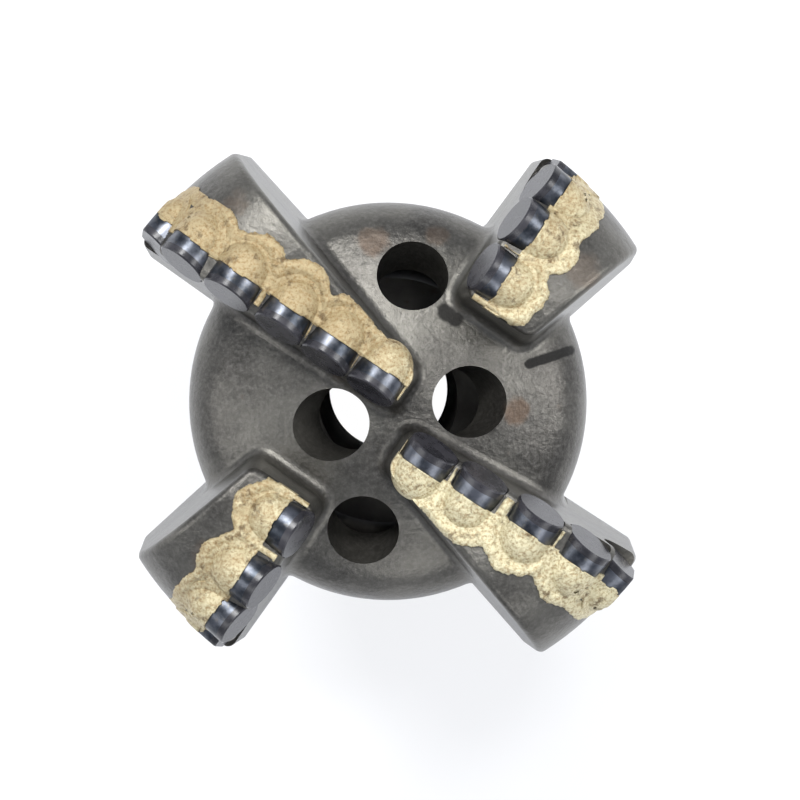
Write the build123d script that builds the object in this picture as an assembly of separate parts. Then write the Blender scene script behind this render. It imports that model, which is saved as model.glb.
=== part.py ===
"""Four-wing PDC drill bit, 152.4 mm gauge, on a 3-1/2 regular tapered pin.

Frame: +Z is the rotation axis and points out of the cutting face; the origin is the centre of the pin's end face.
The bit cuts to the right, so it turns counter-clockwise seen from the cutting face, and every diamond face looks
that way. A wing is modelled with its leading face on the XZ plane, looking along +Y, and then turned into place.
"""
from build123d import *
from math import asin, atan, atan2, cos, degrees, radians, sin, sqrt, tan
import os

# ---- driving dimensions, mm -------------------------------------------------------------------------------
GAUGE_RADIUS = 76.2            # the hole that the bit cuts
PAD_RELIEF = 0.4               # the steel gauge pads stand this far inside the gauge

PIN_LENGTH = 95.25             # tapered pin, end face to shoulder
PIN_END_RADIUS = 32.54
PIN_BASE_RADIUS = 44.45
PIN_NECK_LENGTH = 9.0          # plain neck under the shoulder
PIN_NOSE_CHAMFER = 2.5
BORE_RADIUS = 19.05            # waterway through the pin

COLLAR_RADIUS = 52.5
COLLAR_LENGTH = 35.0           # shoulder to the weld
SHOULDER_BEVEL = 1.6
FLAT_DISTANCE = 46.0           # axis to each breaker flat
FLAT_HEIGHT = 23.0
FLAT_LIFT = 4.5                # shoulder to the flats' lower edge
SPIGOT_LENGTH = 18.0           # how far the shank reaches into the crown
FUNNEL_HEIGHT = 12.0           # leads the waterway out to the spigot's rim
SPIGOT_RIM = 5.0
WELD_DEPTH = 5.0
WELD_CROWN = 0.6               # how far the weld bead stands proud

HUB_RADIUS = 52.5
PLENUM_RADIUS = 38.0
DOME_TOP_Z = 187.0
DOME_EDGE_RADIUS = 17.0
DOME_FACE_RADIUS = 100.0
ROOF_THICKNESS = 12.5

FACE_Z = 204.0                 # height of the cutters' centres on the nose
DISH_DEPTH = 3.0               # the face is dished by this much on the axis
DISH_EDGE = 45.0               # distance of the dish's rim from the axis
NOSE_RADIUS = 47.5             # distance from the axis at which the shoulder starts
CUTTER_SHOULDER = 26.0         # radius of the arc that the shoulder cutters' centres follow
LEAN_SHARE = 0.5               # the cutters lean outwards by this share of the profile's slope
STEEL_LIFT = 0.9               # blade top over the cutters' centres
PAD_LENGTH = 25.0
PAD_TAIL_HEIGHT = 14.0         # the pads run back into the hub over this height

FIRST_BLADE_ANGLE = 146.0      # leading face of blade a, from +X
BLADE_COUNT = 4
LEAD_DRAFT = 4.0
TRAIL_DRAFT = 4.0
END_DRAFT = 5.0
TRAIL_OFFSET = 10.9            # blade thickness where its leading face would pass the axis
TRAIL_FLARE = 0.28             # how fast the blade thickens outwards
INNER_CORNER = 3.8
TOP_EDGE = 2.0
ROOT_FILLET = 3.0

CUTTER_RADIUS = 6.72
CUTTER_LENGTH = 8.0
DIAMOND_THICKNESS = 1.9
DIAMOND_CHAMFER = 0.35
BACK_RAKE = 17.0
GAUGE_CUTTER_GAP = 1.4         # between a gauge cutter and the last face cutter
GAUGE_CUTTER_RADIUS = 71.3     # distance of the gauge cutters' centres from the axis
POCKET_OPENING = 5.0           # how far each pocket is cleared in front of its cutter
BRAZE_SKIN = 0.5               # braze over the steel backing
BRAZE_STEP = 0.35              # how far that braze stands over the cutter's side
BRAZE_LAP = 2.2                # how far it creeps forward over the cutter
BRAZE_SPREAD = 2.6             # how far the braze runs out over the blade round each pocket
BRAZE_RUN = 0.5                # thickness of that run
BRAZE_CRUMB = 4.0              # a loose bit of the run smaller than this, in cubic mm, is left off

NOZZLE_RADIUS = 9.25
NOZZLE_TILT = 32.0

INSERT_RADIUS = 3.6
INSERT_LENGTH = 5.0
INSERT_PROUD = 0.2             # over the pad
INSERT_PITCH = 10.0
INSERT_COUNT = 2
INSERT_SETBACK = 20.0          # behind the blade's leading face

# For each blade: the distance of its inner end from the axis, how far its leading face is set back there, and
# the distance of each face cutter from the axis.
BLADES = {
    "a": {"inner": -1.4, "setback": 0.0, "face_cutters": (5.9, 19.6, 33.5, 48.7, 62.5)},
    "b": {"inner": 33.6, "setback": 0.0, "face_cutters": (42.1, 56.3, 67.2)},
    "c": {"inner": 9.0, "setback": 2.6, "face_cutters": (16.0, 30.3, 46.5, 61.3)},
    "d": {"inner": 31.2, "setback": 0.0, "face_cutters": (39.3, 54.8, 66.5)},
}
NOZZLES = ((33.6, 79.0), (21.2, 1.0), (15.8, 200.5), (33.6, 259.0))  # distance from the axis, angle

# ---- worked out from those --------------------------------------------------------------------------------
BLADE_PITCH = 360.0 / BLADE_COUNT
SHOULDER_Z = PIN_LENGTH
WELD_Z = SHOULDER_Z + COLLAR_LENGTH
PAD_RADIUS = GAUGE_RADIUS - PAD_RELIEF
STEEL_SHOULDER = PAD_RADIUS - NOSE_RADIUS
STEEL_TOP_Z = FACE_Z + STEEL_LIFT
PAD_TOP_Z = STEEL_TOP_Z - STEEL_SHOULDER
PAD_LOW_Z = PAD_TOP_Z - PAD_LENGTH
BLADE_TAIL_Z = PAD_LOW_Z - PAD_TAIL_HEIGHT
DISH_RADIUS = (DISH_EDGE ** 2 + DISH_DEPTH ** 2) / (2 * DISH_DEPTH)
BACKING_RADIUS = CUTTER_RADIUS - BRAZE_SKIN + BRAZE_STEP
BRAZE_RADIUS = CUTTER_RADIUS + BRAZE_STEP
FAR = 3 * GAUGE_RADIUS         # a length past everything, for tools that cut
UP = (Align.CENTER, Align.CENTER, Align.MIN)
DOWN = (Align.CENTER, Align.CENTER, Align.MAX)


def turned(lines):
    """The solid that a closed half outline in the XZ plane sweeps about the axis."""
    edges = [edge for line in lines for edge in line.edges()]
    return revolve(make_face(edges), Axis.Z)


def turned_polygon(points):
    return turned([Polyline([(x, 0, z) for x, z in points], close=True)])


# ---- hub ---------------------------------------------------------------------------------------------------
def domed_bar(wall_radius, edge_radius, face_radius, top_z, low_z):
    """A round bar standing on low_z; its top is a wide arc that rolls into the wall."""
    reach = wall_radius - edge_radius
    face_centre = top_z - face_radius
    edge_z = face_centre + sqrt((face_radius - edge_radius) ** 2 - reach ** 2)
    lean = atan2(reach, edge_z - face_centre)
    half_way = (lean + radians(90)) / 2

    def on_face(angle):
        return (face_radius * sin(angle), 0, face_centre + face_radius * cos(angle))

    def on_edge(angle):
        return (reach + edge_radius * sin(angle), 0, edge_z + edge_radius * cos(angle))

    return turned([
        ThreePointArc((0, 0, top_z), on_face(lean / 2), on_face(lean)),
        ThreePointArc(on_edge(lean), on_edge(half_way), (wall_radius, 0, edge_z)),
        Polyline((wall_radius, 0, edge_z), (wall_radius, 0, low_z), (0, 0, low_z), (0, 0, top_z)),
    ])


def hub_solid():
    """The solid domed hub, bevelled below for the weld."""
    hub = domed_bar(HUB_RADIUS, DOME_EDGE_RADIUS, DOME_FACE_RADIUS, DOME_TOP_Z, WELD_Z)
    bevel = turned_polygon([
        (HUB_RADIUS - WELD_DEPTH, WELD_Z),
        (HUB_RADIUS, WELD_Z + WELD_DEPTH),
        (HUB_RADIUS + WELD_DEPTH, WELD_Z + WELD_DEPTH),
        (HUB_RADIUS + WELD_DEPTH, WELD_Z - WELD_DEPTH),
        (HUB_RADIUS - WELD_DEPTH, WELD_Z - WELD_DEPTH),
    ])
    return hub - bevel


def plenum_solid():
    """The chamber inside the hub that feeds the water holes."""
    edge_radius = DOME_EDGE_RADIUS - ROOF_THICKNESS / 2
    face_radius = DOME_FACE_RADIUS - ROOF_THICKNESS
    low_z = WELD_Z - WELD_DEPTH
    return domed_bar(PLENUM_RADIUS, edge_radius, face_radius, DOME_TOP_Z - ROOF_THICKNESS, low_z)


def dome_height(distance):
    return DOME_TOP_Z - DOME_FACE_RADIUS + sqrt(DOME_FACE_RADIUS ** 2 - distance ** 2)


def water_hole(distance, angle):
    """A bore from the dome into the plenum, running in towards the axis as it goes down."""
    mouth = Pos(distance, 0, dome_height(distance)) * Rot(0, NOZZLE_TILT, 0)
    depth = 2 * ROOF_THICKNESS
    bore = Pos(0, 0, -depth) * Cylinder(NOZZLE_RADIUS, depth + 2 * NOZZLE_RADIUS, align=UP)
    return Rot(0, 0, angle) * mouth * bore


# ---- blades ------------------------------------------------------------------------------------------------
def blade_angle(index):
    return FIRST_BLADE_ANGLE - index * BLADE_PITCH


def envelope(extra=0.0):
    """The form that the blades' tops, shoulders and pads lie on; extra makes it larger all round."""
    top_z = STEEL_TOP_Z + extra
    radius = STEEL_SHOULDER + extra
    half_way = radians(45)
    middle = (NOSE_RADIUS + radius * sin(half_way), 0, PAD_TOP_Z + radius * cos(half_way))
    pad = PAD_RADIUS + extra
    form = turned([
        Line((0, 0, top_z), (NOSE_RADIUS, 0, top_z)),
        ThreePointArc((NOSE_RADIUS, 0, top_z), middle, (pad, 0, PAD_TOP_Z)),
        Polyline((pad, 0, PAD_TOP_Z), (pad, 0, PAD_LOW_Z), (HUB_RADIUS - 2, 0, BLADE_TAIL_Z),
                 (0, 0, BLADE_TAIL_Z), (0, 0, top_z)),
    ])
    dish_radius = DISH_RADIUS - extra
    dish = Pos(0, 0, STEEL_TOP_Z - DISH_DEPTH + DISH_RADIUS) * Rot(90, 0, 0) * Sphere(dish_radius)
    return form - dish


def keep_behind(solid, point, normal):
    """Cuts away what lies beyond the plane at point, on the side that normal points to."""
    return split(solid, bisect_by=Plane(origin=point, z_dir=normal), keep=Keep.BOTTOM)


def blade_wedge(spec):
    """The room between a blade's leading, trailing and inner walls, which lean by their draft."""
    height = STEEL_TOP_Z + 1 - BLADE_TAIL_Z
    block = Pos(-HUB_RADIUS, 0, BLADE_TAIL_Z) * Box(FAR, FAR, height, align=(Align.MIN, Align.CENTER, Align.MIN))
    skew = atan(spec["setback"] / (NOSE_RADIUS - spec["inner"]))
    lead = radians(LEAD_DRAFT)
    lead_normal = (-sin(skew) * cos(lead), cos(skew) * cos(lead), sin(lead))
    block = keep_behind(block, (NOSE_RADIUS, 0, FACE_Z), lead_normal)
    flare = atan(TRAIL_FLARE)
    trail = radians(TRAIL_DRAFT)
    trail_normal = (-sin(flare) * cos(trail), -cos(flare) * cos(trail), sin(trail))
    block = keep_behind(block, (0, -TRAIL_OFFSET, FACE_Z), trail_normal)
    end = radians(END_DRAFT)
    block = keep_behind(block, (spec["inner"], 0, FACE_Z), (-cos(end), 0, sin(end)))
    corners = [e for e in block.edges() if abs(e.tangent_at(0.5).Z) > 0.8 and e.center().X < NOSE_RADIUS]
    return fillet(corners, INNER_CORNER)


def blade_solid(spec):
    """One wing, with its top edges rounded, its leading face on the XZ plane."""
    wing = blade_wedge(spec) & envelope()
    top = [
        e for e in wing.edges()
        if e.center().Z > PAD_TOP_Z and abs(e.tangent_at(0.5).Z) < 0.9 and e.center().X < PAD_RADIUS - 2
    ]
    return fillet(top, TOP_EDGE)


def root_edges(body, hub, wings):
    """The edges along which the wings rise out of the dome."""
    found = []
    for edge in body.edges():
        middle = Vertex(edge.position_at(0.5))
        if middle.Z < WELD_Z + (DOME_TOP_Z - WELD_Z) * 0.6:
            continue
        if hub.distance_to(middle) < 0.001 and any(wing.distance_to(middle) < 0.001 for wing in wings):
            found.append(edge)
    return found


# ---- cutters -----------------------------------------------------------------------------------------------
def profile_drop(distance):
    """How far a cutter's centre lies under the nose, and how far the profile slopes outwards there."""
    if distance <= DISH_EDGE:
        drop = sqrt(DISH_RADIUS ** 2 - distance ** 2) - (DISH_RADIUS - DISH_DEPTH)
        return drop, -degrees(asin(distance / DISH_RADIUS))
    if distance <= NOSE_RADIUS:
        return 0.0, 0.0
    slope = asin((distance - NOSE_RADIUS) / CUTTER_SHOULDER)
    return CUTTER_SHOULDER * (1 - cos(slope)), degrees(slope)


def cutter_planes(spec):
    """The face plane of each cutter on a blade, from the gauge inwards; its Z axis comes out of the diamond."""
    spots = [(distance, *profile_drop(distance)) for distance in spec["face_cutters"]]
    last, last_drop, last_slope = spots[-1]
    centres = 2 * CUTTER_RADIUS + GAUGE_CUTTER_GAP
    gauge_drop = last_drop + sqrt(centres ** 2 - (GAUGE_CUTTER_RADIUS - last) ** 2)
    spots.append((GAUGE_CUTTER_RADIUS, gauge_drop, 90.0))
    planes = []
    for distance, drop, slope in reversed(spots):
        lean = radians(slope * LEAN_SHARE)
        rake = radians(BACK_RAKE)
        outwards = Vector(sin(lean), 0, cos(lean))
        facing = Vector(0, 1, 0) * cos(rake) + outwards * sin(rake)
        setback = spec["setback"] * max(0.0, NOSE_RADIUS - distance) / (NOSE_RADIUS - spec["inner"])
        planes.append(Plane(origin=(distance, -setback, FACE_Z - drop), x_dir=(1, 0, 0), z_dir=facing))
    return planes


def capsule(radius, front=0.0):
    """The room that a cutter and the backing behind it fill, from front to the far end of the backing."""
    barrel = Pos(0, 0, front) * Cylinder(radius, CUTTER_LENGTH + front, align=DOWN)
    return barrel + Pos(0, 0, -CUTTER_LENGTH) * Sphere(radius, arc_size2=0, align=DOWN)


def cutter_parts():
    """The carbide and the diamond of one cutter, with the diamond's face on the XY plane."""
    diamond = Cylinder(CUTTER_RADIUS, DIAMOND_THICKNESS, align=DOWN)
    rim = diamond.edges().filter_by(GeomType.CIRCLE).sort_by(Axis.Z)[-1]
    diamond = chamfer(rim, DIAMOND_CHAMFER)
    carbide_length = CUTTER_LENGTH - DIAMOND_THICKNESS
    carbide = Pos(0, 0, -DIAMOND_THICKNESS) * Cylinder(CUTTER_RADIUS, carbide_length, align=DOWN)
    return carbide, diamond


def gauge_bar():
    """The hole that the bit cuts, which the gauge cutters are ground to."""
    return Pos(0, 0, BLADE_TAIL_Z) * Cylinder(GAUGE_RADIUS, STEEL_TOP_Z - BLADE_TAIL_Z + 50, align=UP)


# ---- gauge inserts -----------------------------------------------------------------------------------------
def insert_solids():
    """The carbide buttons in one gauge pad."""
    angle = -degrees(asin(INSERT_SETBACK / PAD_RADIUS))
    middle_z = (PAD_TOP_Z + PAD_LOW_Z) / 2
    first_z = middle_z + INSERT_PITCH * (INSERT_COUNT - 1) / 2
    button = Cylinder(INSERT_RADIUS, INSERT_LENGTH, align=DOWN)
    top = button.edges().filter_by(GeomType.CIRCLE).sort_by(Axis.Z)[-1]
    button = chamfer(top, INSERT_PROUD)
    reach = PAD_RADIUS + INSERT_PROUD
    return [
        Rot(0, 0, angle) * Pos(reach, 0, first_z - n * INSERT_PITCH) * Rot(0, 90, 0) * button
        for n in range(INSERT_COUNT)
    ]


# ---- shank -------------------------------------------------------------------------------------------------
def shank_solid():
    """Tapered pin, collar with two breaker flats, weld bevel, and the spigot inside the crown."""
    neck_z = SHOULDER_Z - PIN_NECK_LENGTH
    outline = [
        (BORE_RADIUS, 0),
        (PIN_END_RADIUS - PIN_NOSE_CHAMFER, 0),
        (PIN_END_RADIUS, PIN_NOSE_CHAMFER),
        (PIN_BASE_RADIUS, neck_z),
        (PIN_BASE_RADIUS, SHOULDER_Z),
        (COLLAR_RADIUS - SHOULDER_BEVEL, SHOULDER_Z),
        (COLLAR_RADIUS, SHOULDER_Z + SHOULDER_BEVEL),
        (COLLAR_RADIUS, WELD_Z - WELD_DEPTH),
        (COLLAR_RADIUS - WELD_DEPTH, WELD_Z),
        (PLENUM_RADIUS, WELD_Z),
        (PLENUM_RADIUS, WELD_Z + SPIGOT_LENGTH),
        (PLENUM_RADIUS - SPIGOT_RIM, WELD_Z + SPIGOT_LENGTH),
        (BORE_RADIUS, WELD_Z + SPIGOT_LENGTH - FUNNEL_HEIGHT),
    ]
    shank = turned_polygon(outline)
    flat_z = SHOULDER_Z + FLAT_LIFT
    cut = Box(FAR, FAR, FLAT_HEIGHT, align=(Align.CENTER, Align.MIN, Align.MIN))
    for turn in (0, 180):
        shank -= Rot(0, 0, turn) * Pos(0, FLAT_DISTANCE, flat_z) * cut
    return shank


def weld_solid():
    """The bead that fills the groove between collar and hub."""
    root = (COLLAR_RADIUS - WELD_DEPTH, 0, WELD_Z)
    low = (COLLAR_RADIUS, 0, WELD_Z - WELD_DEPTH)
    high = (HUB_RADIUS, 0, WELD_Z + WELD_DEPTH)
    crest = (HUB_RADIUS + WELD_CROWN, 0, WELD_Z)
    return turned([Polyline(low, root, high), ThreePointArc(high, crest, low)])


# ---- the part ----------------------------------------------------------------------------------------------
def build():
    """Every node of the bit, by name."""
    hub = hub_solid()
    wings = [Rot(0, 0, blade_angle(n)) * blade_solid(spec) for n, spec in enumerate(BLADES.values())]
    crown = hub + wings
    crown = fillet(root_edges(crown, hub, wings), ROOT_FILLET)
    crown -= plenum_solid()
    crown -= [water_hole(distance, angle) for distance, angle in NOZZLES]

    nodes = {}
    gauge = gauge_bar()
    carbide, diamond = cutter_parts()
    run_room = envelope(BRAZE_RUN)
    for n, (name, spec) in enumerate(BLADES.items()):
        turn = Rot(0, 0, blade_angle(n))
        planes = [plane.location for plane in cutter_planes(spec)]
        seats = [turn * place for place in planes]
        cutters = [seat * (carbide + diamond) for seat in seats]
        crown += [seat * capsule(BACKING_RADIUS) & gauge for seat in seats]
        crown -= [seat * Pos(0, 0, POCKET_OPENING) * Cylinder(
            CUTTER_RADIUS, CUTTER_LENGTH + POCKET_OPENING, align=DOWN) for seat in seats]
        inserts = [turn * button for button in insert_solids()]
        crown -= inserts
        nodes[f"gauge_inserts_{name}"] = Compound(inserts)

        bead_front = BRAZE_LAP - CUTTER_LENGTH
        beads = [seat * capsule(BRAZE_RADIUS, bead_front) for seat in seats]
        spread = [seat * capsule(CUTTER_RADIUS + BRAZE_SPREAD, bead_front) for seat in seats]
        run = (turn * (blade_wedge(spec) & run_room)) & (spread[0] + spread[1:])
        nodes[f"braze_{name}"] = (run + beads, cutters)
        for k, seat in enumerate(seats):
            nodes[f"carbide_{name}{k + 1}"] = seat * carbide & gauge
            nodes[f"diamond_{name}{k + 1}"] = seat * diamond & gauge

    for name in BLADES:
        braze, cutters = nodes[f"braze_{name}"]
        left = (braze & gauge) - crown - cutters
        nodes[f"braze_{name}"] = Compound([bit for bit in left.solids() if bit.volume > BRAZE_CRUMB])
    nodes["crown_body"] = crown
    nodes["pin_shank"] = shank_solid()
    nodes["weld_ring"] = weld_solid()
    return nodes


if __name__ == "__main__":
    os.makedirs("parts", exist_ok=True)
    for node, solid in build().items():
        export_step(solid, f"parts/{node}.step")
        print(node, round(solid.volume), len(solid.solids()), solid.is_valid)
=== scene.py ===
"""Looks of the four-wing PDC drill bit: finishes, braze, thread, weld, light and camera. Metres, +Z up."""
import bmesh
import bpy
import math
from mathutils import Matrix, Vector, noise
from mathutils.bvhtree import BVHTree


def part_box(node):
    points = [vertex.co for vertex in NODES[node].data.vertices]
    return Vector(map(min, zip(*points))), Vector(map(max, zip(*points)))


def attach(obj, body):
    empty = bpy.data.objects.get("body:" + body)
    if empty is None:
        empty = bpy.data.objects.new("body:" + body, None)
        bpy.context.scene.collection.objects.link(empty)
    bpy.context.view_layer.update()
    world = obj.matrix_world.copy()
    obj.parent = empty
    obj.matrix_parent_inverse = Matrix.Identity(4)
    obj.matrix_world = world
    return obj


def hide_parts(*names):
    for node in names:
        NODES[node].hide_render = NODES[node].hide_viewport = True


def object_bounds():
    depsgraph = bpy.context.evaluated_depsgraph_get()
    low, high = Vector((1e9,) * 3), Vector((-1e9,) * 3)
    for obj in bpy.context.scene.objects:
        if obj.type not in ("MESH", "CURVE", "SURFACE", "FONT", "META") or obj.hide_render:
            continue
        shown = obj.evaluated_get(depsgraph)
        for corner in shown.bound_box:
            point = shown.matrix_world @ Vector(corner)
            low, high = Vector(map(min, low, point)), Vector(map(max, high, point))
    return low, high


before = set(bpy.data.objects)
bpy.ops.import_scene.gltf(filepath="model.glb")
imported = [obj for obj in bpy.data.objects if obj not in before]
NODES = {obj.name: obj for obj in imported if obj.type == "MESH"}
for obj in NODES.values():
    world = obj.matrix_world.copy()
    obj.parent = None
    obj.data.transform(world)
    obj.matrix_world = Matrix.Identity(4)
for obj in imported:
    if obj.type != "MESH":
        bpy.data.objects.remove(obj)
CAD_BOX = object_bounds()
MM = 0.001

# ---- sizes that the added pieces share with the frame --------------------------------------------------
BLADES = {"a": 6, "b": 4, "c": 5, "d": 4}          # cutters on each wing
TOP_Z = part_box("crown_body")[1][2]
GAUGE_RADIUS = 76.2 * MM
CUTTER_RADIUS = 6.72 * MM
CUTTER_LENGTH = 8.0 * MM


# ---- node helpers --------------------------------------------------------------------------------------
class Number:
    """A float socket with arithmetic, so that a material's sums read like sums."""

    def __init__(self, tree, socket):
        self.tree = tree
        self.socket = socket

    def _math(self, operation, *values, clamp=False):
        node = self.tree.nodes.new("ShaderNodeMath")
        node.operation = operation
        node.use_clamp = clamp
        for slot, value in zip(node.inputs, values):
            if isinstance(value, Number):
                self.tree.links.new(value.socket, slot)
            else:
                slot.default_value = value
        return Number(self.tree, node.outputs[0])

    def __add__(self, other):
        return self._math("ADD", self, other)

    def __sub__(self, other):
        return self._math("SUBTRACT", self, other)

    def __mul__(self, other):
        return self._math("MULTIPLY", self, other)

    def __truediv__(self, other):
        return self._math("DIVIDE", self, other)

    def __radd__(self, other):
        return self._math("ADD", other, self)

    def __rsub__(self, other):
        return self._math("SUBTRACT", other, self)

    def __rmul__(self, other):
        return self._math("MULTIPLY", other, self)

    def clamped(self):
        return self._math("ADD", self, 0.0, clamp=True)

    def biggest(self, other):
        return self._math("MAXIMUM", self, other)

    def root(self):
        return self._math("SQRT", self)

    def step(self, low, high):
        """0 below low, 1 above high, smooth between."""
        node = self.tree.nodes.new("ShaderNodeMapRange")
        node.interpolation_type = "SMOOTHSTEP"
        self.tree.links.new(self.socket, node.inputs["Value"])
        node.inputs["From Min"].default_value = low
        node.inputs["From Max"].default_value = high
        return Number(self.tree, node.outputs["Result"])


class Finish:
    """One procedural material in the making."""

    def __init__(self, name):
        self.material = bpy.data.materials.new(name)
        self.material.use_nodes = True
        self.tree = self.material.node_tree
        self.shader = self.tree.nodes["Principled BSDF"]
        place = self.node("ShaderNodeNewGeometry").outputs["Position"]
        self.place = place
        apart = self.node("ShaderNodeSeparateXYZ", inputs={"Vector": place})
        self.x, self.y = (Number(self.tree, apart.outputs[axis]) for axis in "XY")

    def node(self, kind, settings=None, inputs=None):
        node = self.tree.nodes.new(kind)
        for key, value in (settings or {}).items():
            setattr(node, key, value)
        for key, value in (inputs or {}).items():
            self.feed(node.inputs[key], value)
        return node

    def feed(self, socket, value):
        """Sets a socket, or links it where the value is another socket's."""
        if isinstance(value, Number):
            self.tree.links.new(value.socket, socket)
        elif isinstance(value, bpy.types.NodeSocket):
            self.tree.links.new(value, socket)
        else:
            socket.default_value = value

    def noise(self, size, detail=4.0, roughness=0.55, shift=0.0, stretch=(1, 1, 1)):
        """Noise from about 0 to 1 whose blotches are size metres across."""
        scale = [s / size for s in stretch]
        moved = self.node("ShaderNodeVectorMath", {"operation": "MULTIPLY_ADD"},
                          {0: self.place, 1: scale, 2: [shift] * 3})
        cloud = self.node("ShaderNodeTexNoise", inputs={
            "Vector": moved.outputs[0], "Scale": 1.0, "Detail": detail, "Roughness": roughness})
        return Number(self.tree, cloud.outputs["Fac"])

    def mix(self, share, first, second):
        """The first colour where share is 0, the second where it is 1."""
        node = self.node("ShaderNodeMix", {"data_type": "RGBA"})
        self.feed(node.inputs[0], share)
        self.feed(node.inputs[6], first)
        self.feed(node.inputs[7], second)
        return node.outputs[2]

    def away(self, point):
        """Distance from a point of the part."""
        gap = self.node("ShaderNodeVectorMath", {"operation": "DISTANCE"}, {0: self.place, 1: point})
        return Number(self.tree, gap.outputs["Value"])

    def bump(self, height, depth, normal=None):
        """The normal of a surface whose height from 0 to 1 stands for depth metres."""
        inputs = {"Height": height, "Distance": depth, "Strength": 1.0}
        if normal is not None:
            inputs["Normal"] = normal
        return self.node("ShaderNodeBump", inputs=inputs).outputs["Normal"]

    def set(self, **values):
        for name, value in values.items():
            self.feed(self.shader.inputs[name.replace("_", " ")], value)
        return self.material


def shade(red, green, blue):
    """An sRGB colour, 0 to 255, as linear light."""
    def linear(part):
        part = part / 255
        return part / 12.92 if part <= 0.04045 else ((part + 0.055) / 1.055) ** 2.4
    return (linear(red), linear(green), linear(blue), 1.0)


# ---- materials -----------------------------------------------------------------------------------------
def crown_steel():
    f = Finish("cast_steel")
    blotch = f.noise(24 * MM, 5)
    grain = f.noise(1.1 * MM, 6, 0.7)
    pits = f.noise(3.2 * MM, 3, 0.6, shift=7.0)
    colour = f.mix(blotch.step(0.35, 0.65), shade(64, 62, 58), shade(94, 92, 86))
    colour = f.mix(grain.step(0.35, 0.8) * 0.45, colour, shade(128, 125, 120))
    stains = rust_share(f)
    colour = f.mix(stains, colour, shade(98, 74, 54))
    dirt = smudge_share(f)
    colour = f.mix(dirt, colour, shade(22, 21, 20))
    roughness = 0.2 + grain * 0.2 + blotch * 0.08 + stains * 0.3 + dirt * 0.3
    bump = f.bump(grain * 0.7 + pits * 0.6, 0.18 * MM)
    bump = f.bump(f.noise(9 * MM, 3, shift=3.0), 0.5 * MM, bump)
    return f.set(Base_Color=colour, Roughness=roughness, Metallic=0.72, Normal=bump)


RUST_SPOTS = (  # place and reach in millimetres, strength
    ((-9, 12, 186), 9, 0.5),
    ((-40, 52, 204), 8, 0.3),
    ((33, -2, 181), 5, 0.45),
    ((49, 34, 203), 7, 0.25),
    ((-44, -38, 200), 7, 0.3),
    ((-4, 42, 178), 6, 0.35),
    ((13, 44, 177), 5, 0.3),
)


def rust_share(f):
    """How rusty the surface is: blotches at the spots where water stood."""
    broken = f.noise(5 * MM, 6, 0.65, shift=11.0)
    total = broken.step(0.66, 0.8) * 0.35
    for place, reach, strength in RUST_SPOTS:
        near = 1.0 - f.away([v * MM for v in place]) / (reach * MM)
        total = total.biggest((near.clamped() * 1.2 + broken - 0.55).step(0.1, 0.55) * strength)
    return total.clamped()


SMUDGES = (  # the two ends of each dark smear seen from above, and its half width, in millimetres
    ((14.5, 23.5), (17.5, 21.5), 1.5),
    ((36.5, 10.0), (47.5, 13.5), 1.0),
)


def smudge_share(f):
    """How black the surface is with grease: smears along short lines over the dome."""
    broken = f.noise(3 * MM, 4, 0.6, shift=17.0)
    total = 0.0
    for start, end, half_width in SMUDGES:
        middle = [(a + b) / 2 * MM for a, b in zip(start, end)]
        length = math.dist(start, end)
        along_x, along_y = [(b - a) / length for a, b in zip(start, end)]
        x, y = f.x - middle[0], f.y - middle[1]
        along = x * along_x + y * along_y
        across = x * along_y - y * along_x
        past = ((along * along).root() - length / 2 * MM).biggest(0.0)
        near = 1.0 - (past * past + across * across).root() / (half_width * 1.6 * MM)
        total = (near + (broken - 0.5) * 0.6).step(0.0, 0.4).biggest(total)
    return total.clamped() * 0.85


def turned_steel():
    f = Finish("turned_steel")
    rings = f.noise(0.35 * MM, 2, 0.5, stretch=(0.01, 0.01, 1))
    blotch = f.noise(18 * MM, 5)
    colour = f.mix(blotch.step(0.3, 0.7), shade(92, 90, 88), shade(128, 126, 122))
    colour = f.mix(f.noise(6 * MM, 5, shift=5.0).step(0.6, 0.75) * 0.6, colour, shade(96, 70, 48))
    return f.set(Base_Color=colour, Roughness=0.3 + rings * 0.14 + blotch * 0.1, Metallic=0.9,
                 Normal=f.bump(rings, 0.03 * MM))


def weld_metal():
    f = Finish("weld_metal")
    grain = f.noise(1.4 * MM, 5)
    colour = f.mix(grain.step(0.3, 0.7), shade(66, 62, 60), shade(110, 104, 98))
    colour = f.mix(f.noise(12 * MM, 4).step(0.5, 0.7) * 0.6, colour, shade(92, 66, 48))
    return f.set(Base_Color=colour, Roughness=0.4 + grain * 0.2, Metallic=0.75,
                 Normal=f.bump(grain, 0.15 * MM))


def braze_metal():
    f = Finish("braze")
    grain = f.noise(0.8 * MM, 6, 0.7)
    lumps = f.noise(2.6 * MM, 5, 0.6, shift=2.0)
    cream = (f.x - f.y) / (60 * MM) + 0.5 + (lumps - 0.5) * 1.6
    colour = f.mix(cream.step(0.0, 1.0), shade(168, 152, 116), shade(206, 198, 164))
    colour = f.mix((1.0 - grain).step(0.42, 0.66) * 0.75, colour, shade(128, 98, 50))
    soot = f.noise(3.4 * MM, 6, 0.7, shift=9.0).step(0.52, 0.7)
    colour = f.mix(soot * 0.85, colour, shade(88, 68, 42))
    roughness = 0.42 + grain * 0.3 + soot * 0.2
    bump = f.bump(grain * 0.5 + lumps, 0.45 * MM)
    return f.set(Base_Color=colour, Roughness=roughness - 0.08, Metallic=0.3, Normal=bump)


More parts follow.
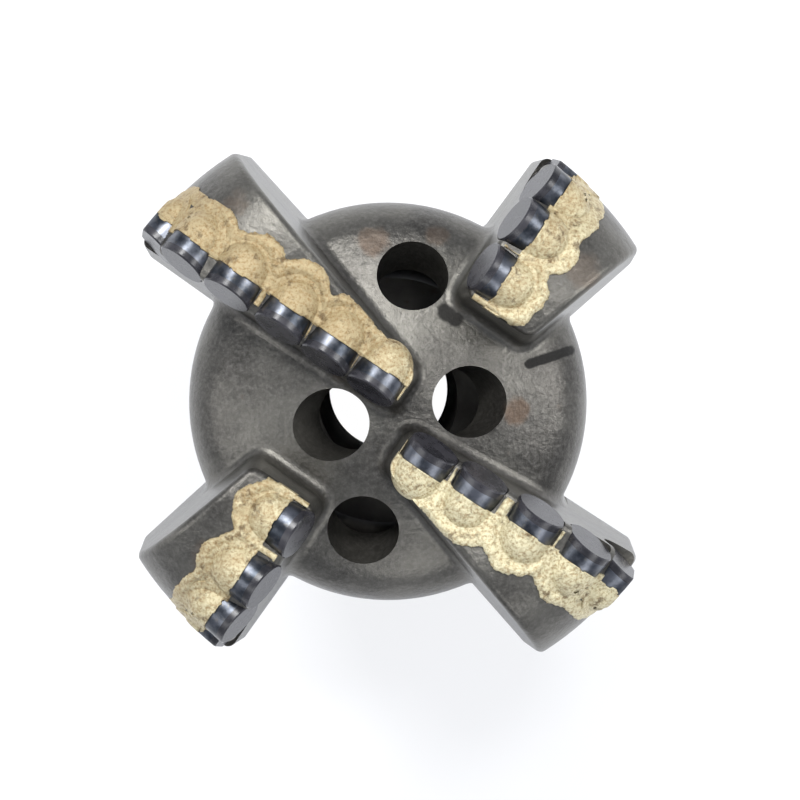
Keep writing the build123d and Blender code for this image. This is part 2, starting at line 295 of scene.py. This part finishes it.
def ground_carbide():
    f = Finish("ground_carbide")
    scuff = f.noise(1.6 * MM, 5, 0.6)
    smoke = f.noise(7 * MM, 4, 0.6, shift=4.0)
    colour = f.mix(smoke.step(0.35, 0.65), shade(48, 52, 58), shade(104, 107, 114))
    colour = f.mix(scuff.step(0.55, 0.78) * 0.35, colour, shade(118, 112, 98))
    roughness = 0.2 + scuff * 0.16 + smoke * 0.08
    return f.set(Base_Color=colour, Roughness=roughness, Metallic=0.92, Normal=f.bump(scuff, 0.02 * MM))


def lapped_diamond():
    f = Finish("lapped_diamond")
    haze = f.noise(5 * MM, 5, 0.6, shift=6.0)
    speck = f.noise(0.5 * MM, 3, 0.6)
    colour = f.mix(haze.step(0.3, 0.7), shade(30, 30, 33), shade(54, 53, 57))
    roughness = 0.14 + haze * 0.2 + speck * 0.06
    return f.set(Base_Color=colour, Roughness=roughness, Specular_IOR_Level=0.4,
                 Normal=f.bump(speck, 0.008 * MM))


def dress(names, material):
    for name in names:
        mesh = NODES[name].data
        mesh.materials.clear()
        mesh.materials.append(material)


STEEL = crown_steel()
TURNED = turned_steel()
WELD = weld_metal()
BRAZE = braze_metal()
CARBIDE = ground_carbide()
DIAMOND = lapped_diamond()
dress(["crown_body"], STEEL)
dress(["pin_shank"], TURNED)
dress(["weld_ring"], WELD)
for wing, count in BLADES.items():
    dress([f"braze_{wing}"], BRAZE)
    dress([f"gauge_inserts_{wing}"], CARBIDE)
    dress([f"carbide_{wing}{n + 1}" for n in range(count)], CARBIDE)
    dress([f"diamond_{wing}{n + 1}" for n in range(count)], DIAMOND)


# ---- braze ---------------------------------------------------------------------------------------------
def cutter_place(wing, number):
    """Centre of a cutter's diamond face and the direction that it faces."""
    def middle(name):
        corners = [v.co for v in NODES[name].data.vertices]
        return sum(corners, Vector()) / len(corners)
    diamond = middle(f"diamond_{wing}{number}")
    facing = (diamond - middle(f"carbide_{wing}{number}")).normalized()
    return diamond, facing


def bvh_of(name):
    mesh = NODES[name].data
    return BVHTree.FromPolygons([v.co for v in mesh.vertices], [p.vertices for p in mesh.polygons])


def rough(point, size, seed):
    return noise.fractal(point / size + Vector((seed, seed, seed)), 0.9, 2.0, 4)


GRID = 0.34 * MM
BEAD_LAP = 5.7 * MM            # the braze starts this far behind the diamond's face
LAP_WANDER = 0.6 * MM
BEAD_RADIUS = CUTTER_RADIUS + 0.4 * MM
BARE_SHARE = 0.98              # of the cutter's radius, where its bare side shows
FRONT_CLEAR = 1.2 * MM         # no run this near the plane of the faces
RUN_REACH = 3.4 * MM           # how far the braze runs out over the steel
RUN_DEPTH = 1.15 * MM
RUN_DROP = 6.5 * MM            # the run ends this far below a cutter's centre
GROOVE = 1.1 * MM              # the run is thin this near to the dome
GROOVE_SHARE = 0.55            # of the run's depth
EDGE_POWER = 5                 # how blunt the run's edge is
NEAR_CUTTER = 13 * MM          # steel higher or lower than this from a cutter isn't its own
OFF = 1.0                      # a distance or depth past everything, in metres
MARGIN = 13 * MM               # blade room searched round the outermost cutters
AHEAD = 3 * MM                 # and before and behind the faces
BEHIND = 16 * MM
GAUGE_INSET = 0.3 * MM
RAY_LIFT = 50 * MM
STEEPEST = 0.1                 # upward part of the steel's normal, least that takes braze
TEAR = 3.0 * MM                # a larger step between neighbours stays open
SPECK_FACES = 60
EVEN_TURNS = 2
EVEN_SHARE = 0.4
EDGE_DROP = 0.9 * MM
LUMP, LOBE, BLISTER = 3.0 * MM, 8.0 * MM, 0.9 * MM     # sizes of the braze's roughness


def bead_top(spot, face, facing, lap):
    """A cutter's braze dome over a spot: its height, the gap to its edge, and whether bare cutter shows."""
    flat = Vector((facing.x, facing.y, 0)).normalized()
    level = math.hypot(facing.x, facing.y)
    offset = Vector((spot.x - face.x, spot.y - face.y, 0))
    behind = -offset.dot(flat)
    aside = abs(offset.cross(flat).z)
    end = CUTTER_LENGTH * level
    beyond = max(0.0, behind - end)
    inside = BEAD_RADIUS ** 2 - aside ** 2 - beyond ** 2
    bare = aside < CUTTER_RADIUS * BARE_SHARE and behind < lap
    if behind < FRONT_CLEAR:
        gap = OFF
    elif behind < end:
        gap = max(0.0, aside - CUTTER_RADIUS)
    else:
        gap = math.hypot(aside, beyond) - BEAD_RADIUS
    if inside <= 0 or behind < lap:
        return None, gap, bare
    drop = facing.z / level * min(behind, end)
    return face.z - drop + math.sqrt(inside) / level, gap, bare


def braze_height(spot, cutters):
    """Top of the braze over a spot of the steel, or None where there is none."""
    lumps = rough(spot, LUMP, 3.0)
    lobes = rough(spot, LOBE, 8.0)
    grain = rough(spot, BLISTER, 5.0)
    best = None
    nearest = OFF
    for face, facing in cutters:
        if abs(spot.z - face.z) > NEAR_CUTTER:
            continue
        height, gap, bare = bead_top(spot, face, facing, BEAD_LAP + lobes * LAP_WANDER)
        if bare:
            return None
        if height is not None:
            best = max(best or -OFF, height + (lumps * 0.14 + grain * 0.06) * MM)
        if spot.z > face.z - RUN_DROP:
            nearest = min(nearest, gap)
    reach = RUN_REACH * (1.0 + 0.4 * lobes + 0.07 * lumps)
    if nearest < reach:
        out = max(0.0, nearest) / reach
        thin = GROOVE_SHARE + (1.0 - GROOVE_SHARE) * min(1.0, nearest / GROOVE)
        lip = (1.0 - out ** EDGE_POWER) * thin
        run = spot.z + RUN_DEPTH * lip * (1.0 + 0.3 * lumps + 0.22 * grain)
        best = max(best or -OFF, run)
    return best


def add_piece(name, mesh, material):
    """A new piece of the part from a finished mesh."""
    piece = bpy.data.objects.new(name, mesh)
    bpy.context.collection.objects.link(piece)
    mesh.materials.append(material)
    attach(piece, "root")
    return piece


def braze_piece(wing, count, steel):
    """The ragged braze on one wing: a fine sheet over backings and blade top, with its edges turned down."""
    cutters = [cutter_place(wing, n + 1) for n in range(count)]
    inner, facing = cutters[-1]
    ahead = Vector((facing.x, facing.y, 0)).normalized()
    outwards = Vector((ahead.y, -ahead.x, 0))
    along = [(face - inner).dot(outwards) for face, _ in cutters]
    first = min(along) - MARGIN
    columns = int((max(along) + MARGIN - first) / GRID) + 1
    rows = int((AHEAD + BEHIND + MARGIN) / GRID) + 1
    found = {}
    for i in range(columns):
        for j in range(rows):
            place = inner + outwards * (first + i * GRID) + ahead * (AHEAD - j * GRID)
            if math.hypot(place.x, place.y) > GAUGE_RADIUS - GAUGE_INSET:
                continue
            above = Vector((place.x, place.y, TOP_Z + RAY_LIFT))
            hit, normal, _, _ = steel.ray_cast(above, Vector((0, 0, -1)))
            if hit is None or normal.z < STEEPEST:
                continue
            top = braze_height(hit, cutters)
            if top is not None and top - hit.z < NEAR_CUTTER:
                found[i, j] = (place.x, place.y, top)
    index = {key: n for n, key in enumerate(found)}
    faces = []
    for i, j in found:
        ring = [(i, j), (i, j + 1), (i + 1, j + 1), (i + 1, j)]
        if all(key in found for key in ring):
            levels = [found[key][2] for key in ring]
            if max(levels) - min(levels) < TEAR:
                faces.append([index[key] for key in ring])
    mesh = bpy.data.meshes.new(f"braze_cover_{wing}")
    mesh.from_pydata(list(found.values()), [], faces)
    tidy_sheet(mesh)
    add_piece(f"braze_cover_{wing}", mesh, BRAZE)


def drop_specks(sheet):
    """Deletes the smallest islands of the sheet."""
    left = set(sheet.faces)
    while left:
        island = set()
        queue = [left.pop()]
        while queue:
            face = queue.pop()
            island.add(face)
            for edge in face.edges:
                for other in edge.link_faces:
                    if other in left:
                        left.discard(other)
                        queue.append(other)
        if len(island) < SPECK_FACES:
            bmesh.ops.delete(sheet, geom=list(island), context="FACES")


def tidy_sheet(mesh):
    """Drops loose points, evens the sheet a little, and turns its open edges down into the steel."""
    sheet = bmesh.new()
    sheet.from_mesh(mesh)
    bmesh.ops.delete(sheet, geom=[v for v in sheet.verts if not v.link_faces], context="VERTS")
    drop_specks(sheet)
    for _ in range(EVEN_TURNS):
        bmesh.ops.smooth_vert(sheet, verts=sheet.verts, factor=EVEN_SHARE,
                              use_axis_x=True, use_axis_y=True, use_axis_z=True)
    rim = [edge for edge in sheet.edges if edge.is_boundary]
    grown = bmesh.ops.extrude_edge_only(sheet, edges=rim)["geom"]
    for vert in (g for g in grown if isinstance(g, bmesh.types.BMVert)):
        vert.co.z -= EDGE_DROP
    bmesh.ops.recalc_face_normals(sheet, faces=sheet.faces)
    for face in sheet.faces:
        face.smooth = True
    sheet.to_mesh(mesh)
    sheet.free()


STEEL_TREE = bvh_of("crown_body")
for wing, count in BLADES.items():
    braze_piece(wing, count, STEEL_TREE)


# ---- pin thread and weld bead --------------------------------------------------------------------------
PITCH = 5.08 * MM
THREAD_DEPTH = 3.0 * MM
CREST_SHARE = 0.12             # half the flat of a crest, as a share of the pitch
ROOT_SHARE = 0.10
CONE_START = (32.54 * MM, 2.5 * MM)    # radius and height at the nose chamfer
CONE_END = (44.45 * MM, 86.25 * MM)    # and at the plain neck
RUN_IN = 2.5 * MM              # the thread comes to full depth over this height, and fades out over the next
RUN_OUT = 6.0 * MM
TURN_STEPS = 144
PITCH_STEPS = 12
ON_CONE = 0.08 * MM            # a face this near the cone is part of it
SAME_POINT = 0.004 * MM
SHARP_EDGE = math.radians(25)


def cone_radius(z):
    share = (z - CONE_START[1]) / (CONE_END[1] - CONE_START[1])
    return CONE_START[0] + (CONE_END[0] - CONE_START[0]) * share


def thread_radius(z, phase):
    """Radius of the threaded cone where the turn stands at this phase of the pitch."""
    away = abs(phase - math.floor(phase) - 0.5) * 2
    flank = (away - 2 * CREST_SHARE) / (1 - 2 * CREST_SHARE - 2 * ROOT_SHARE)
    fade = min(1.0, (z - CONE_START[1]) / RUN_IN, (CONE_END[1] - z) / RUN_OUT)
    return cone_radius(z) - THREAD_DEPTH * max(0.0, min(1.0, flank)) * max(0.0, fade)


def threaded_pin():
    """The pin and collar with the tapered thread cut into the cone, in place of the plain shank."""
    shank = bmesh.new()
    shank.from_mesh(NODES["pin_shank"].data)
    shank.transform(NODES["pin_shank"].matrix_world)
    low, high = CONE_START[1] - ON_CONE, CONE_END[1] + ON_CONE

    def on_cone(vert):
        return low < vert.co.z < high and abs(vert.co.xy.length - cone_radius(vert.co.z)) < ON_CONE

    plain = [face for face in shank.faces if all(on_cone(vert) for vert in face.verts)]
    bmesh.ops.delete(shank, geom=plain, context="FACES")
    rise = PITCH / PITCH_STEPS
    first = -PITCH_STEPS
    rows = int((CONE_END[1] - CONE_START[1]) / rise) + PITCH_STEPS + 2
    grid = []
    for k in range(first, rows):
        line = []
        for c in range(TURN_STEPS + 1):
            turn = c / TURN_STEPS
            climb = (k + turn * PITCH_STEPS) * rise
            z = min(max(CONE_START[1] + climb, CONE_START[1]), CONE_END[1])
            radius = thread_radius(z, k / PITCH_STEPS)
            angle = turn * math.tau
            line.append(shank.verts.new((radius * math.cos(angle), radius * math.sin(angle), z)))
        grid.append(line)
    for lower, upper in zip(grid, grid[1:]):
        for c in range(TURN_STEPS):
            shank.faces.new((lower[c], lower[c + 1], upper[c + 1], upper[c]))
    bmesh.ops.remove_doubles(shank, verts=shank.verts, dist=SAME_POINT)
    bmesh.ops.recalc_face_normals(shank, faces=shank.faces)
    mesh = bpy.data.meshes.new("threaded_pin")
    shank.to_mesh(mesh)
    shank.free()
    mesh.shade_smooth()
    mesh.set_sharp_from_angle(angle=SHARP_EDGE)
    piece = add_piece("threaded_pin", mesh, TURNED)
    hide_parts("pin_shank")


WELD_HEIGHT = 130.25 * MM
WELD_HALF = 5.0 * MM
WELD_EDGE_RADIUS = 52.5 * MM
WELD_CROWN = 0.6 * MM
RIPPLE_COUNT = 150
RIPPLE_DEPTH = 0.22 * MM
RIPPLE_CURVE = 2.4             # how far each ripple lags at the bead's edges
RIPPLE_STEPS = 6
BEAD_ROWS = 14
BEAD_TUCK = 1.5 * MM           # the bead's edges turn in under the steel
EDGE_WANDER = 0.35 * MM
WANDER_RING = 50 * MM          # the ring on which the bead's unevenness is read, and its size
WANDER_SIZE = 4 * MM


def weld_bead():
    """The bead between collar and crown, with the ripples that each stop of the weld leaves."""
    columns = RIPPLE_COUNT * RIPPLE_STEPS
    points, faces = [], []
    for r in range(-1, BEAD_ROWS + 2):
        across = min(max(r / BEAD_ROWS, 0.0), 1.0) * 2 - 1
        tuck = BEAD_TUCK if r in (-1, BEAD_ROWS + 1) else 0.0
        for c in range(columns):
            angle = c / columns * math.tau
            swing = angle * RIPPLE_COUNT + across * across * RIPPLE_CURVE
            spot = Vector((math.cos(angle), math.sin(angle), across)) * WANDER_RING
            wander = rough(spot, WANDER_SIZE, 2.0)
            ripple = RIPPLE_DEPTH * (abs(math.sin(swing / 2)) - 0.4 + 0.8 * wander) * (1 - across ** 4)
            radius = WELD_EDGE_RADIUS + WELD_CROWN * (1 - across ** 2) + ripple - tuck
            z = WELD_HEIGHT + across * (WELD_HALF + wander * EDGE_WANDER)
            points.append((radius * math.cos(angle), radius * math.sin(angle), z))
    for r in range(BEAD_ROWS + 2):
        low, high = r * columns, (r + 1) * columns
        for c in range(columns):
            beside = (c + 1) % columns
            faces.append((low + c, low + beside, high + beside, high + c))
    mesh = bpy.data.meshes.new("weld_bead")
    mesh.from_pydata(points, [], faces)
    mesh.shade_smooth()
    piece = add_piece("weld_bead", mesh, WELD)
    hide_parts("weld_ring")


threaded_pin()
weld_bead()


# ---- floor, light and camera ---------------------------------------------------------------------------
BORE_PAINTED_LIGHT = (26 * MM, 40 * MM)     # painted light: the floor glows fully white under the bore, taking away the shade there, and fades to its usual share
FLOOR_SHARE = 0.5              # how much of what the camera sees of the floor is plain white


def white_floor():
    """A white floor that keeps the shadow and otherwise reads as the white background; under the bore it
    carries painted light that takes the shade away.
    """
    bpy.ops.mesh.primitive_plane_add(size=8.0, location=(0, 0, CAD_BOX[0][2]))
    floor = bpy.context.object
    floor.name = "floor"
    f = Finish("floor_white")
    f.set(Base_Color=(0.86, 0.86, 0.86, 1.0), Roughness=0.9)
    glow = f.node("ShaderNodeEmission", inputs={"Color": (1, 1, 1, 1), "Strength": 1.0})
    path = f.node("ShaderNodeLightPath")
    seen = Number(f.tree, path.outputs["Is Camera Ray"])
    both = f.node("ShaderNodeMixShader")
    # painted light: under the bore the floor glows fully white for the camera, so the shade inside the bore
    # is hidden
    middle = 1.0 - ((f.x * f.x + f.y * f.y).root()).step(*BORE_PAINTED_LIGHT)
    f.feed(both.inputs[0], seen * (FLOOR_SHARE + middle * (1.0 - FLOOR_SHARE)))
    f.tree.links.new(f.shader.outputs[0], both.inputs[1])
    f.tree.links.new(glow.outputs[0], both.inputs[2])
    f.tree.links.new(both.outputs[0], f.tree.nodes["Material Output"].inputs["Surface"])
    floor.data.materials.append(f.material)


def soft_lamp(name, place, aim, size, power):
    data = bpy.data.lights.new(name, "AREA")
    data.shape = "RECTANGLE"
    data.size, data.size_y = size
    data.energy = power
    lamp = bpy.data.objects.new(name, data)
    lamp.location = place
    lamp.rotation_euler = (Vector(aim) - Vector(place)).to_track_quat("-Z", "Y").to_euler()
    bpy.context.collection.objects.link(lamp)


def white_world():
    world = bpy.data.worlds.new("room")
    world.use_nodes = True
    bpy.context.scene.world = world
    tree = world.node_tree
    room = tree.nodes["Background"]
    room.inputs["Color"].default_value = (0.8, 0.86, 1.0, 1.0)
    room.inputs["Strength"].default_value = 0.5
    white = tree.nodes.new("ShaderNodeBackground")
    white.inputs["Strength"].default_value = 1.0
    path = tree.nodes.new("ShaderNodeLightPath")
    both = tree.nodes.new("ShaderNodeMixShader")
    tree.links.new(path.outputs["Is Camera Ray"], both.inputs[0])
    tree.links.new(room.outputs[0], both.inputs[1])
    tree.links.new(white.outputs[0], both.inputs[2])
    tree.links.new(both.outputs[0], tree.nodes["World Output"].inputs["Surface"])


CAMERA_HEIGHT = 0.879
CAMERA_SIDE = (0.0006, 0.0173)
LENS = 122.1
SHIFT = (0.01225, -0.0804)


def place_camera():
    data = bpy.data.cameras.new("camera")
    data.lens = LENS
    data.sensor_width = 36.0
    data.shift_x, data.shift_y = SHIFT
    camera = bpy.data.objects.new("camera", data)
    camera.location = (*CAMERA_SIDE, CAMERA_HEIGHT)
    bpy.context.collection.objects.link(camera)
    bpy.context.scene.camera = camera


white_floor()
white_world()
soft_lamp("key", (-0.25, 0.75, 1.15), (0, 0, 0.19), (0.5, 0.35), 13)
soft_lamp("fill_left", (-0.9, -0.1, 0.7), (0, 0, 0.19), (0.5, 0.6), 3.2)
soft_lamp("fill_right", (0.95, 0.1, 0.8), (0, 0, 0.19), (0.4, 0.6), 7)
soft_lamp("overhead", (0.12, 0.3, 1.3), (0, 0, 0.19), (0.14, 0.14), 4)
soft_lamp("low_front", (0.2, -0.9, 0.75), (0, 0, 0.18), (0.7, 0.4), 3)
place_camera()
bpy.context.scene.view_settings.view_transform = "Standard"
